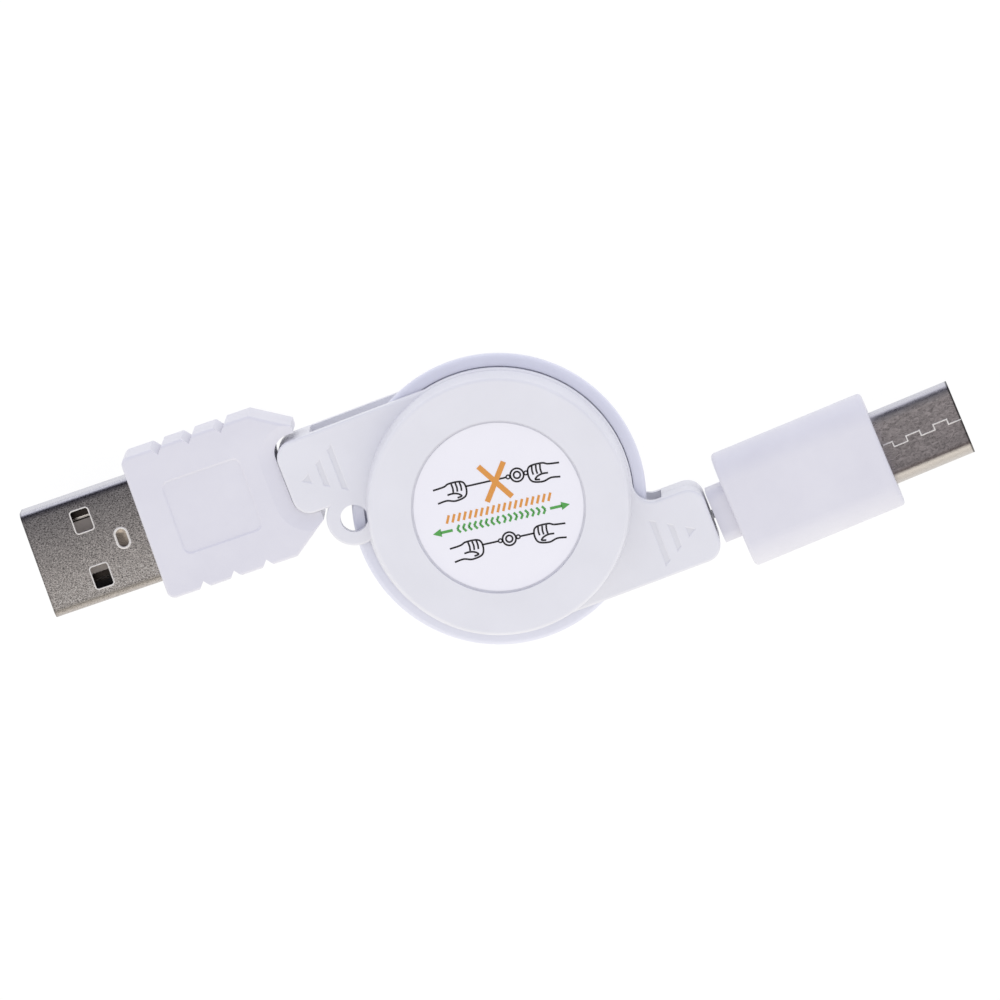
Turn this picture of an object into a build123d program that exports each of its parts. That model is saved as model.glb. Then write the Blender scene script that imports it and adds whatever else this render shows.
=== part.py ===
from build123d import *
import math
import os

os.makedirs("parts", exist_ok=True)

# Case: a lid and its mirrored rear half, with an arm on each side. Z = 0 is the back face, X the long axis.
lid_r = 14.5
lid_thick = 1.2
lid_ledge = 0.2
disc_draft = 0.35
disc_rise = 3.6
disc_round = 0.4
dome_wall = 1.15
top_wall = 1.2
arm_inset = 0.35
arm_w = 8.25
arm_reach = 6.25
arm_corner_r = 1.9
arm_edge_round = 0.3
inner_corner_r = 2.0
pillar_len = 4.25
parting_gap = 0.1
parting_depth = 0.15
mouth_w = 3.0
mouth_shift = 0.08

# Loop beside the left arm, for a strap.
loop_out = 0.7
loop_drop = 2.05
loop_hole_r = 1.5
loop_outer_r = 3.0

# Striped arrow sunk in each arm: places on the left and right arm, bar edges from its tip, and its half angle.
arrow_from_end = (1.62, 1.88)
arrow_bars = ((0, 1.15), (2.1, 2.85), (3.8, 4.57))
arrow_up = (3.7, 4.35)
arrow_slope = 0.6
arrow_depth = 0.1
arrow_wall_deg = 55.0

# Label and the screw below it.
label_margin = 4.83
label_thick = 0.15
label_recess_gap = 0.27
label_recess_depth = 0.35
screw_r = 1.0
screw_head_r = 1.9
screw_head_h = 1.2
screw_len = 9.0
screw_hole_gap = 0.15
screw_slot_l = 2.4
screw_slot_w = 0.4
screw_slot_d = 0.7
screw_seat = 0.55
screw_seat_r = 3.2
head_gap = 0.15
boss_drop = 0.6

# Spool between the covers.
run_gap = 0.2
bore_gap = 0.15
post_r = 2.0
rim_proud = 1.4
rim_low_proud = 0.7
flange_thick = 0.9
rim_round = 0.45
rim_groove_in = 0.3
rim_groove_out = 0.1
rim_groove_depth = 0.65
barrel_side_gap = 0.6
barrel_wall = 0.8
barrel_end_gap = 0.3
track_edge = 0.8
track_disc_drop = 1.1
track_in_r = 5.2
track_wall = 0.8
track_island_w = 0.5
track_island_deg = 50.0
track_depth = 0.9

# Lock ball in the rear cover's radial slot.
ball_r = 1.0
ball_gap = 0.12
ball_end_gap = 0.225
ball_drop = 0.4
ball_block_gap = 0.3
ball_wall = 0.8
thrust_gap = 1.8

# Ribbon cable, wound double on the hub.
ribbon_t = 0.72
ribbon_w = 2.8
ribbon_gap = 0.13
half_turns = 10
winding_cover = 0.38
coil_gap = 0.1
lead_gap = 0.1
fold_gap = 0.08

# Mainspring in the spool's barrel.
spring_t = 0.2
spring_w = 2.0
spring_gap = 0.2
spring_wall_gap = 0.05
spring_half_turns = 16
spring_tab = 0.5

# Plugs lie a little askew to the case, as pulled in, each off its arm's middle line.
# The A plug's own origin lies inside its arm's end.
a_yaw = 1.7
c_yaw = 1.95
a_shift = -0.04
c_shift = 0.43
a_inset = 0.45
mould_gap = 0.08
dock_play = 0.6
dish_w = 1.9
dish_depth = 0.45

# A plug, sizes along its own axis from the arm's end.
a_tip = 28.9
a_mould_front = 16.55
a_taper_start = 1.9
a_tail_end = -2.1
a_side_up = 8.25
a_side_low = 7.95
a_mould_t = 6.9
a_tail_up = 5.75
a_tail_low = 5.1
a_mould_round = 0.85
a_mould_edge = 0.35
a_notch_at = (12.4, 8.9, 5.2)
a_notch_depth = 0.8
a_notch_w = 1.3
a_panel_u = 8.775
a_panel_v = -0.265
a_panel_l = 9.05
a_panel_w = 8.4
a_panel_r = 0.9
a_panel_depth = 0.16
a_panel_wall_deg = 50.0
a_shell_w = 12.0
a_shell_t = 4.5
a_shell_wall = 0.3
a_shell_r = 0.9
a_shell_back = 11.0
a_hole_u = 22.7
a_hole_l = 2.1
a_hole_w = 2.6
a_hole_v = 3.2
a_dimple_u = 19.2
a_dimple_l = 1.4
a_dimple_w = 2.25
a_dimple_depth = 0.2
a_dimple_wall_deg = 45.0
a_tongue_t = 1.9
a_block_back = 12.0
a_block_front = 17.5
a_tongue_gap = 0.3
a_contact_v = (-3.5, -1.0, 1.0, 3.5)
a_contact_w = 1.0
a_contact_t = 0.25
a_contact_proud = 0.05
a_contact_front = (27.8, 27.0, 27.0, 27.8)
a_tail_back = 9.0
a_core_back = 4.0
wire_r = 0.3

# C plug, sizes along its own axis from the arm's end.
c_tail_start = 0.39
c_tail_v = 0.24
c_mould_back = 2.35
c_tail_w = 6.05
c_tail_t = 4.6
c_tail_r = 1.2
c_tail_sink = 1.0
c_mould_front = 19.85
c_mould_w = 13.0
c_mould_t = 6.8
c_mould_round = 3.0
c_end_round = 0.45
c_tip = 28.9
c_shell_w = 8.34
c_shell_t = 2.56
c_shell_wall = 0.25
c_shell_back = 15.0
c_seam_w = 0.08
c_seam_tooth = 0.6
c_seam_step = 1.58
c_seam_tip = 1.52
c_seam_v = 0.2
c_housing_back = 17.0
c_housing_gap = 0.25
c_cavity_back = 22.5
c_cavity_w = 6.9
c_contact_v = (-2.75, -1.25, -0.75, 0.75, 1.25, 2.75)
c_contact_w = 0.25
c_contact_t = 0.15
c_contact_front = 27.6
c_contact_back = 14.2
c_board_t = 0.84
c_board_back = 10.0
c_board_front = 16.4
c_board_w = 7.4
c_latch_t = 0.2
c_latch_w = 0.3
c_latch_bar = 0.8
c_latch_back = 18.2
c_core_back = 6.0
c_core_w = 10.0
c_core_t = 4.4
c_core_r = 0.8
c_wire_v = (-2.7, -0.9, 0.9, 2.7)
c_chip = (1.0, 0.5, 0.35)
c_chip_u = 2.2
c_chip_v = 2.2

# Radii, arms and heights that follow from the sizes above.
disc_base_r = lid_r - lid_ledge
disc_top_r = disc_base_r - disc_draft
dome_r = disc_top_r - dome_wall
label_r = disc_top_r - label_margin
barrel_r = dome_r - barrel_side_gap
rim_upper_r = lid_r + rim_proud
rim_lower_r = lid_r + rim_low_proud
track_disc_r = barrel_r - track_edge
track_out_r = track_disc_r - track_wall
track_mid_r = (track_in_r + track_out_r) / 2
thrust_r = track_in_r - thrust_gap
ball_rest = track_in_r + ball_r + ball_end_gap
ball_travel = track_out_r - ball_r - ball_end_gap - ball_rest
coil_step = ribbon_t + ribbon_gap
coil_r0 = rim_lower_r - winding_cover - ribbon_t - half_turns * coil_step
hub_r = coil_r0 - coil_gap
fold_r = (post_r + bore_gap + hub_r - ribbon_t) / 2
arm_out = lid_r - arm_inset
arm_in = arm_out - arm_w
arm_end = lid_r + arm_reach
arm_mid = (arm_in + arm_out) / 2
mouth_y = arm_mid + mouth_shift
a_y = arm_mid + a_shift
c_y = arm_mid + c_shift
loop_x = -lid_r - loop_out
loop_y = arm_in - loop_drop
arm_thick = ribbon_w + 2 * (flange_thick + run_gap + lid_thick)
total_h = arm_thick + 2 * disc_rise
mid_z = total_h / 2
plate_top = total_h - disc_rise
plate_under = plate_top - lid_thick
plate_low = disc_rise + lid_thick
dome_top = total_h - top_wall
boss_z = plate_under - boss_drop


def block(x0, x1, y0, y1, z0, z1):
    """A box between two corners."""
    return Pos((x0 + x1) / 2, (y0 + y1) / 2, (z0 + z1) / 2) * Box(x1 - x0, y1 - y0, z1 - z0)


def disc(r, z0, z1):
    """An upright cylinder on the case's axis."""
    return Pos(0, 0, (z0 + z1) / 2) * Cylinder(r, z1 - z0)


def prism(points, z0, z1):
    """A polygon in plan, drawn up from z0 to z1."""
    return Pos(0, 0, z0) * extrude(make_face(Polyline(*points, close=True)), z1 - z0)


def sunk(plan, z, depth, wall_deg):
    """The solid to cut for a shallow recess of this plan at a top face, with walls that slope inwards."""
    return Pos(0, 0, z) * extrude(plan, depth, dir=(0, 0, -1), taper=wall_deg)


def save(node, shape):
    """Writes a node's solids."""
    solids = shape.solids()
    export_step(solids[0] if len(solids) == 1 else Compound(children=solids), "parts/" + node + ".step")


def strand(r0, step, thick, count):
    """A flat strip's spiral in plan, made of half circles whose centres lie on the X axis."""
    edges = []
    for k in range(count):
        side = 1 if k % 2 == 0 else -1
        inner = (r0 + k * step, r0 + (k + 1) * step)
        for edge_r in (0, thick):
            a = side * (inner[0] + edge_r)
            b = -side * (inner[1] + edge_r)
            edges.append(ThreePointArc((a, 0), ((a + b) / 2, abs(a - b) / 2 * side), (b, 0)))
    last_side = 1 if count % 2 == 0 else -1
    last = last_side * (r0 + count * step)
    edges.append(Line((r0, 0), (r0 + thick, 0)))
    edges.append(Line((last, 0), (last + last_side * thick, 0)))
    return make_face(edges)


def ribbon(points, z0, z1):
    """A flat strip standing on edge along a line of points in plan, with mitred corners."""
    left = []
    right = []
    for k, (x, y) in enumerate(points):
        before = points[max(k - 1, 0)]
        after = points[min(k + 1, len(points) - 1)]
        d0 = math.atan2(y - before[1], x - before[0]) if k > 0 else None
        d1 = math.atan2(after[1] - y, after[0] - x) if k < len(points) - 1 else None
        d0 = d1 if d0 is None else d0
        d1 = d0 if d1 is None else d1
        turn = (d0 + d1) / 2
        reach = ribbon_t / 2 / math.cos((d1 - d0) / 2)
        left.append((x - math.sin(turn) * reach, y + math.cos(turn) * reach))
        right.append((x + math.sin(turn) * reach, y - math.cos(turn) * reach))
    return prism(left + right[::-1], z0, z1)


def arm_plan():
    """The left arm in plan, from the case's middle to its rounded end."""
    plan = Pos(-arm_end / 2, (arm_in + arm_out) / 2) * Rectangle(arm_end, arm_out - arm_in)
    return fillet(plan.vertices().sort_by(Axis.X)[:2], arm_corner_r)


def cover_plan():
    """The cover's outline: the lid's circle, both arms, and the rounded corner beside each."""
    arm = arm_plan()
    plan = Circle(lid_r) + arm + Rot(0, 0, 180) * arm
    inner_x = math.sqrt(lid_r ** 2 - arm_in ** 2)
    corners = [
        v for v in plan.vertices()
        if abs(abs(v.X) - inner_x) < 0.05 and abs(abs(v.Y) - arm_in) < 0.05
    ]
    return fillet(corners, inner_corner_r)


def cover_half(plan):
    """A half without its own details: plate, raised disc, and the blocks at the arms' ends."""
    body = Pos(0, 0, plate_under) * extrude(plan, lid_thick)
    body = fillet(body.faces().sort_by(Axis.Z)[-1].edges(), arm_edge_round)
    pillar_plan = cover_plan() - Rectangle(2 * (arm_end - pillar_len), 4 * arm_end)
    pillar_plan -= Pos(-arm_end, mouth_y) * Rectangle(4 * pillar_len, mouth_w)
    pillar_plan -= Pos(arm_end, -mouth_y) * Rectangle(4 * pillar_len, mouth_w)
    pillars = Pos(0, 0, mid_z) * extrude(pillar_plan, plate_under - mid_z)
    parting = cover_plan() - offset(cover_plan(), -parting_depth)
    pillars -= Pos(0, 0, mid_z) * extrude(parting, parting_gap / 2)
    dome = Pos(0, 0, plate_top + disc_rise / 2) * Cone(disc_base_r, disc_top_r, disc_rise)
    dome = fillet(dome.faces().sort_by(Axis.Z)[-1].edges(), disc_round)
    body = body + pillars + dome
    return body - disc(dome_r, plate_under, dome_top)


def arrow(from_end, up):
    """A left arm's striped arrow, each bar of it a sunk piece with sloping walls."""
    bars = []
    arrow_y = arm_in + up
    for d0, d1 in arrow_bars:
        x0 = d0 - arm_end + from_end
        x1 = d1 - arm_end + from_end
        h0 = d0 * arrow_slope
        h1 = d1 * arrow_slope
        near = [(x0, arrow_y)] if d0 == 0 else [(x0, arrow_y - h0), (x0, arrow_y + h0)]
        bar = make_face(Polyline(*near, (x1, arrow_y + h1), (x1, arrow_y - h1), close=True))
        bars.append(sunk(bar, plate_top, arrow_depth, arrow_wall_deg))
    return Compound(children=bars)


# Front cover: the half, its loop, the boss for the screw, the label's recess and the arrows.
loop_plan = Pos(loop_x, loop_y) * Circle(loop_outer_r)
front = cover_half(cover_plan() + loop_plan)
front = front + disc(post_r, boss_z, dome_top)
front -= Pos(loop_x, loop_y, plate_under + lid_thick / 2) * Cylinder(loop_hole_r, 2 * lid_thick)
front -= disc(label_r + label_recess_gap, total_h - label_recess_depth, total_h)
head_top = total_h - label_recess_depth
head_low = head_top - screw_head_h - head_gap
front = front + disc(screw_seat_r, head_low - screw_seat, dome_top)
front -= disc(screw_head_r + head_gap, head_low, head_top)
front -= disc(screw_r + screw_hole_gap, boss_z, head_low)
front -= arrow(arrow_from_end[0], arrow_up[0])
front -= Rot(0, 0, 180) * arrow(arrow_from_end[1], arrow_up[1])
spring_z = plate_under - run_gap + spring_gap
front -= block(post_r - spring_tab, post_r, 0, spring_t, spring_z, spring_z + spring_w)

# Rear cover: the mirrored half with the post, the ring that the spool turns on, and the ball's slot.
rear = mirror(cover_half(cover_plan()), about=Plane.XY.offset(mid_z))
track_z = plate_low - track_disc_drop
rear = rear + disc(post_r, top_wall, boss_z)
rear = rear + disc(thrust_r, top_wall, track_z)
ball_z = track_z - ball_drop
slot_low = ball_z - ball_r
slot_half = ball_r + ball_gap
slot_in = ball_rest - slot_half
slot_out = ball_rest + ball_travel + slot_half
slot_side = slot_half + ball_wall
rear = rear + block(
    slot_in - ball_wall, slot_out + ball_wall, -slot_side, slot_side, top_wall, track_z - ball_block_gap
)
rear -= block(slot_in, slot_out, -slot_half, slot_half, slot_low, track_z)
rear -= disc(screw_r, head_low - screw_len, boss_z)

# Spool: bore, track disc, the two flanges, the hub between them and the spring's barrel.
low_z = plate_low + run_gap
high_z = plate_under - run_gap
rim_low = Pos(0, 0, low_z + flange_thick / 2) * Cylinder(rim_lower_r, flange_thick)
rim_high = Pos(0, 0, high_z - flange_thick / 2) * Cylinder(rim_upper_r, flange_thick)
rim_high = fillet(rim_high.edges().group_by(Axis.Z)[-1], rim_round)
rim_groove = disc(lid_r + rim_groove_out, high_z - rim_groove_depth, high_z)
rim_high -= rim_groove - disc(lid_r - rim_groove_in, high_z - rim_groove_depth, high_z)
spool = rim_low + rim_high + disc(hub_r, low_z, high_z) + disc(track_disc_r, track_z, low_z)
spool = spool + disc(barrel_r, high_z, dome_top - barrel_end_gap)
spool -= disc(barrel_r - barrel_wall, high_z, dome_top)
spool -= disc(post_r + bore_gap, track_z, high_z)
track = disc(track_out_r, track_z, track_z + track_depth)
spool -= track - disc(track_in_r, track_z, track_z + track_depth)
island = disc(track_mid_r + track_island_w / 2, track_z, track_z + track_depth)
island -= disc(track_mid_r - track_island_w / 2, track_z, track_z + track_depth)
wedge_r = 2 * track_disc_r
wedge_h = wedge_r * math.tan(math.radians(track_island_deg / 2))
wedge = prism([(0, 0), (wedge_r, -wedge_h), (wedge_r, wedge_h)], track_z, track_z + track_depth)
for quarter in range(4):
    spool = spool + (island & Rot(0, 0, 45 + 90 * quarter) * wedge)

# Wound ribbon: two strands half a turn apart, joined by the fold inside the hub.
coil_mid = coil_r0 + half_turns * coil_step + ribbon_t / 2
guide = (-(arm_end - pillar_len / 2), mouth_y)
guide_r = math.hypot(*guide)
exit_deg = math.degrees(math.atan2(guide[1], guide[0]) - math.acos(coil_mid / guide_r))
ribbon_z0 = mid_z - ribbon_w / 2
ribbon_z1 = mid_z + ribbon_w / 2
one = strand(coil_r0, coil_step, ribbon_t, half_turns)
fold = Circle(fold_r + ribbon_t) - Circle(fold_r)
fold = fold & Pos(0, 2 * fold_r) * Rectangle(4 * fold_r, 4 * fold_r)
link_end = coil_r0 + ribbon_t
fold += Pos((fold_r + link_end) / 2, ribbon_t / 2) * Rectangle(link_end - fold_r, ribbon_t)
fold += Pos(-(fold_r + link_end) / 2, -ribbon_t / 2) * Rectangle(link_end - fold_r, ribbon_t)
fold += Pos(-(fold_r + ribbon_t / 2), 0) * Rectangle(ribbon_t, ribbon_t)
coil_plan = one + Rot(0, 0, 180) * one + fold
coil = Pos(0, 0, ribbon_z0) * extrude(Rot(0, 0, exit_deg) * coil_plan, ribbon_w)
fold_slot = offset(fold, fold_gap)
fold_slot = Pos(0, 0, ribbon_z0) * extrude(Rot(0, 0, exit_deg) * fold_slot, ribbon_w)
spool -= fold_slot

# Mainspring, from the front boss to the barrel's wall.
spring_step = (barrel_r - barrel_wall - spring_wall_gap - spring_t - post_r) / spring_half_turns
spring_plan = strand(post_r, spring_step, spring_t, spring_half_turns)
spring_foot = spring_tab + spring_t
spring_plan += Pos(post_r + spring_t - spring_foot / 2, spring_t / 2) * Rectangle(spring_foot, spring_t)
mainspring = Pos(0, 0, spring_z) * extrude(spring_plan, spring_w)

# Label, screw and lock ball.
label = disc(label_r, total_h - label_recess_depth, total_h - label_recess_depth + label_thick)
screw_top = head_low + screw_head_h
screw = disc(screw_head_r, head_low, screw_top) + disc(screw_r, head_low - screw_len, head_low)
screw -= Pos(0, 0, screw_top - screw_slot_d / 2) * Box(screw_slot_l, screw_slot_w, screw_slot_d)
screw -= Pos(0, 0, screw_top - screw_slot_d / 2) * Box(screw_slot_w, screw_slot_l, screw_slot_d)
lock_ball = Pos(ball_rest, 0, ball_z) * Sphere(ball_r)


def straight_wire(a, b, u0, u1):
    """A round wire between two points, trimmed square to the plug's axis at both ends."""
    start = Vector(*a)
    along = (Vector(*b) - start).normalized()
    ends = start - along
    length = (Vector(*b) - start).length + 2
    wire = extrude(Plane(origin=ends, z_dir=along) * Circle(wire_r), length)
    return wire & block(u0, u1, -20, 20, -20, 20)


def box_tube(w, t, r, u0, u1):
    """A bar of rounded rectangular section along the plug's axis."""
    section = Plane.YZ.offset(u0) * RectangleRounded(w, t, r)
    return extrude(section, u1 - u0)


# A plug, built along its own axis with its middle at the origin.
a_in_w = a_shell_w - 2 * a_shell_wall
a_in_t = a_shell_t - 2 * a_shell_wall
a_in_r = a_shell_r - a_shell_wall
a_shell = box_tube(a_shell_w, a_shell_t, a_shell_r, a_shell_back, a_tip)
a_shell -= box_tube(a_in_w, a_in_t, a_in_r, a_shell_back, a_tip)
for v in (-a_hole_v, a_hole_v):
    a_shell -= Pos(a_hole_u, v, 0) * Box(a_hole_l, a_hole_w, 2 * a_shell_t)
dimple = SlotOverall(a_dimple_w, a_dimple_l, rotation=90)
a_shell -= Pos(a_dimple_u, 0, 0) * sunk(dimple, a_shell_t / 2, a_dimple_depth, a_dimple_wall_deg)

tongue_top = -a_in_t / 2 + a_tongue_t
a_insulator = box_tube(a_in_w, a_in_t, a_in_r, a_block_back, a_tip - a_tongue_gap)
a_insulator -= block(a_block_front, a_tip, -a_shell_w, a_shell_w, tongue_top, a_shell_t)
a_contacts = []
for v, front_u in zip(a_contact_v, a_contact_front):
    top = tongue_top + a_contact_proud
    a_contacts.append(
        block(a_tail_back, front_u, v - a_contact_w / 2, v + a_contact_w / 2, top - a_contact_t, top)
    )
a_contacts = Compound(children=a_contacts)
a_insulator -= a_contacts

contact_mid = tongue_top + a_contact_proud - a_contact_t / 2
wire_w = [ribbon_w * (k - 1.5) / 4 for k in range(4)]
a_wires = [
    straight_wire((a_core_back, 0, w), (a_tail_back, v, contact_mid), a_core_back, a_tail_back)
    for v, w in zip(a_contact_v, wire_w)
]
a_wires = Compound(children=a_wires)
a_core_solid = box_tube(a_shell_w, a_shell_t, a_shell_r, a_core_back, a_shell_back)
a_core_solid = a_core_solid + box_tube(a_in_w, a_in_t, a_in_r, a_shell_back, a_block_back)
a_core = a_core_solid - a_contacts - a_wires

a_mould_plan = [
    (a_mould_front, a_side_low), (a_taper_start, a_side_low), (a_tail_end, a_tail_low),
    (a_tail_end, -a_tail_up), (a_taper_start, -a_side_up), (a_mould_front, -a_side_up),
]
a_mould = prism(a_mould_plan, -a_mould_t / 2, a_mould_t / 2)
a_mould = fillet(a_mould.edges().filter_by(Axis.Z).group_by(Axis.X)[-1], a_mould_round)
flat_faces = a_mould.faces().sort_by(Axis.Z)
flat_edges = flat_faces[-1].edges() + flat_faces[0].edges()
tail_edges = flat_edges.group_by(Axis.X)[0]
a_mould = fillet([e for e in flat_edges if e not in tail_edges], a_mould_edge)
for u in a_notch_at:
    for turn, side in ((1, a_side_low), (-1, a_side_up)):
        a_mould -= prism(
            [(u - a_notch_w / 2, turn * (side + 0.01)), (u + a_notch_w / 2, turn * (side + 0.01)),
             (u, turn * (side - a_notch_depth))],
            -a_mould_t, a_mould_t,
        )
panel = RectangleRounded(a_panel_l, a_panel_w, a_panel_r)
a_mould -= Pos(a_panel_u, a_panel_v, 0) * sunk(panel, a_mould_t / 2, a_panel_depth, a_panel_wall_deg)
a_mould -= box_tube(a_shell_w, a_shell_t, a_shell_r, a_core_back, a_mould_front)

# C plug, built the same way.
c_round = c_shell_t / 2 - 0.01
c_in_w = c_shell_w - 2 * c_shell_wall
c_in_t = c_shell_t - 2 * c_shell_wall
c_in_r = c_in_t / 2 - 0.01
c_shell = box_tube(c_shell_w, c_shell_t, c_round, c_shell_back, c_tip)
c_inside = box_tube(c_in_w, c_in_t, c_in_r, c_shell_back, c_tip)
c_shell -= c_inside
seam_u = c_tip
seam_back = c_tip - c_seam_tip
seam_side = -1
seam_reach = (c_seam_tooth + c_seam_w) / 2
while seam_u > c_shell_back:
    seam_v = c_seam_v + seam_side * c_seam_tooth / 2
    c_shell -= block(seam_back, seam_u, seam_v - c_seam_w / 2, seam_v + c_seam_w / 2, 0, c_shell_t)
    c_shell -= block(
        seam_back, seam_back + c_seam_w, c_seam_v - seam_reach, c_seam_v + seam_reach, 0, c_shell_t
    )
    seam_u = seam_back + c_seam_w
    seam_back = seam_back - c_seam_step
    seam_side = -seam_side

board_top = c_board_t / 2
c_housing = box_tube(c_in_w, c_in_t, c_in_r, c_housing_back, c_tip - c_housing_gap)
c_housing -= block(c_cavity_back, c_tip, -c_cavity_w / 2, c_cavity_w / 2, -board_top, board_top)
c_upper = []
c_lower = []
for v in c_contact_v:
    c_upper.append(
        block(c_contact_back, c_contact_front, v - c_contact_w / 2, v + c_contact_w / 2,
              board_top, board_top + c_contact_t)
    )
    c_lower.append(
        block(c_contact_back, c_contact_front, v - c_contact_w / 2, v + c_contact_w / 2,
              -board_top - c_contact_t, -board_top)
    )
c_upper = Compound(children=c_upper)
c_lower = Compound(children=c_lower)
latch_out = c_cavity_w / 2
latch_in = latch_out - c_latch_w
c_latch = block(c_latch_back, c_contact_front, -latch_out, latch_out, -c_latch_t / 2, c_latch_t / 2)
c_latch -= block(c_latch_back + c_latch_bar, c_tip, -latch_in, latch_in, -c_latch_t, c_latch_t)
c_housing = c_housing - c_upper - c_lower - c_latch
c_board = block(c_board_back, c_board_front, -c_board_w / 2, c_board_w / 2, -board_top, board_top)
chip_u = c_board_back + c_chip_u
c_resistor = block(
    chip_u, chip_u + c_chip[0], c_chip_v, c_chip_v + c_chip[1], board_top, board_top + c_chip[2]
)
c_wires = [
    straight_wire((c_core_back, 0, w), (c_board_back, v, 0), c_core_back, c_board_back)
    for v, w in zip(c_wire_v, wire_w)
]
c_wires = Compound(children=c_wires)
c_core_solid = box_tube(c_core_w, c_core_t, c_core_r, c_core_back, c_shell_back)
c_core_solid = c_core_solid + box_tube(c_in_w, c_in_t, c_in_r, c_shell_back, c_housing_back)
c_core = c_core_solid - c_board - c_resistor - c_wires - c_upper - c_lower

c_mould = box_tube(c_mould_w, c_mould_t, c_mould_round, c_mould_back, c_mould_front)
end_faces = c_mould.faces().sort_by(Axis.X)
end_edges = end_faces[-1].edges() + end_faces[0].edges()
c_mould = fillet(end_edges, c_end_round)
c_tail = box_tube(c_tail_w, c_tail_t, c_tail_r, c_tail_start, c_mould_back + c_tail_sink)
c_mould = c_mould + Pos(0, c_tail_v, 0) * c_tail
c_mould -= box_tube(c_core_w, c_core_t, c_core_r, c_core_back, c_shell_back)
c_mould -= box_tube(c_shell_w, c_shell_t, c_round, c_shell_back, c_mould_front)

# Places of the plugs beside the arms.
a_start = arm_end - a_inset
a_place = Pos(-a_start, a_y, mid_z) * Rot(0, 0, 180 - a_yaw)
c_place = Pos(arm_end, -c_y, mid_z) * Rot(0, 0, c_yaw)

# Leads: from the coil's outer end, through the arm's mouth, into each plug.
a_turn = math.radians(a_yaw)
c_turn = math.radians(c_yaw)
coil_end = (coil_mid * math.cos(math.radians(exit_deg)), coil_mid * math.sin(math.radians(exit_deg)))
a_end = (-a_start - a_core_back * math.cos(a_turn), a_y + a_core_back * math.sin(a_turn))
c_end = (arm_end + c_core_back * math.cos(c_turn), -c_y + c_core_back * math.sin(c_turn))
lead_z0 = ribbon_z0 + lead_gap
lead_z1 = ribbon_z1 - lead_gap
a_lead = ribbon([coil_end, guide, a_end], lead_z0, lead_z1)
c_lead = ribbon([(-coil_end[0], -coil_end[1]), (-guide[0], -guide[1]), c_end], lead_z0, lead_z1)

# The A mould's fork: room for the arm, more of it on the outer side, and a shallow dish round it on both faces.
a_dock = offset(arm_plan(), mould_gap)
a_dock = a_dock + Pos(0, dock_play) * a_dock
a_fork = Pos(0, 0, -1) * extrude(a_dock, total_h + 2)
a_face = a_mould_t / 2
dish_low = Pos(0, 0, mid_z + a_face - dish_depth) * offset(arm_plan(), mould_gap)
dish_high = Pos(0, 0, mid_z + a_face) * offset(arm_plan(), dish_w)
dish = loft([dish_low, dish_high], ruled=True)
a_mould = a_place * a_mould - a_fork - a_lead
a_mould = a_mould - dish - mirror(dish, about=Plane.XY.offset(mid_z))
c_mould = c_place * c_mould - c_lead

save("front_cover", front)
save("rear_cover", rear)
save("spool", spool)
save("cable_coil", coil)
save("mainspring", mainspring)
save("label", label)
save("cover_screw", screw)
save("lock_ball", lock_ball)
save("lead_a", a_lead)
save("lead_c", c_lead)
save("a_shell", a_place * a_shell)
save("a_insulator", a_place * a_insulator)
save("a_contacts", a_place * a_contacts)
save("a_wires", a_place * a_wires)
save("a_core", a_place * a_core)
save("a_overmould", a_mould)
save("c_shell", c_place * c_shell)
save("c_housing", c_place * c_housing)
save("c_contacts_upper", c_place * c_upper)
save("c_contacts_lower", c_place * c_lower)
save("c_latch", c_place * c_latch)
save("c_board", c_place * c_board)
save("c_resistor", c_place * c_resistor)
save("c_wires", c_place * c_wires)
save("c_core", c_place * c_core)
save("c_overmould", c_mould)
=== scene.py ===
import bmesh
import bpy
import numpy as np
from mathutils import Matrix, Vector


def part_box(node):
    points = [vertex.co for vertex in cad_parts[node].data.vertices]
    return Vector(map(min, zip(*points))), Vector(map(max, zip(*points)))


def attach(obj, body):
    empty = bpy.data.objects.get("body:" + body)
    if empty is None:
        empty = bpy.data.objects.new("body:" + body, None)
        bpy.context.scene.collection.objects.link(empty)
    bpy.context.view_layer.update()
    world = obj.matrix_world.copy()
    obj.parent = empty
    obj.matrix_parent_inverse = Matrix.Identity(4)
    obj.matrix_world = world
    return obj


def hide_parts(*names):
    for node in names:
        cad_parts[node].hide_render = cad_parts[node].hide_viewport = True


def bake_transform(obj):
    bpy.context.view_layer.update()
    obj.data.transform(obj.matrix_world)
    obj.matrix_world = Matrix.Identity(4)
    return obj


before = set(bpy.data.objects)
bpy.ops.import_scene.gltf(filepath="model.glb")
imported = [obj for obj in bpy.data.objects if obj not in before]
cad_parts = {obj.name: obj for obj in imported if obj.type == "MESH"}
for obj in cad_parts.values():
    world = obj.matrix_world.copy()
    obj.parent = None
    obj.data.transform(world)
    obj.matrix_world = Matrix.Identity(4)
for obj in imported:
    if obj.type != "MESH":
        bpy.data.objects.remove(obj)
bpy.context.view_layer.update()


# Rear cover: the lower half of the reel's case, with two arms and the post that the spool turns on.
# Injection-moulded white ABS from a lightly spark-eroded tool, held to the front half by one screw.

MM = 0.001
gloss_swing = 0.08
# Noise keeps mostly between these values, so they are stretched over the whole range.
noise_span = {"From Min": 0.3, "From Max": 0.7}


def linear(colour):
    """An sRGB hex colour as linear RGBA: each channel is (c + 0.055) / 1.055 to the power 2.4, or c / 12.92
    near black."""
    c = np.array([int(colour[i:i + 2], 16) for i in (1, 3, 5)]) / 255
    c = np.where(c > 0.04045, ((c + 0.055) / 1.055) ** 2.4, c / 12.92)
    return (*c, 1.0)


def add_node(material, kind, settings=None, links=None):
    """Adds one node to a material: settings are its properties and input values, links say what feeds its
    inputs."""
    made = material.node_tree.nodes.new("ShaderNode" + kind)
    for name, value in (settings or {}).items():
        if isinstance(name, int) or name in made.inputs:
            made.inputs[name].default_value = value
        else:
            setattr(made, name, value)
    for name, source in (links or {}).items():
        material.node_tree.links.new(source, made.inputs[name])
    return made


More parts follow.
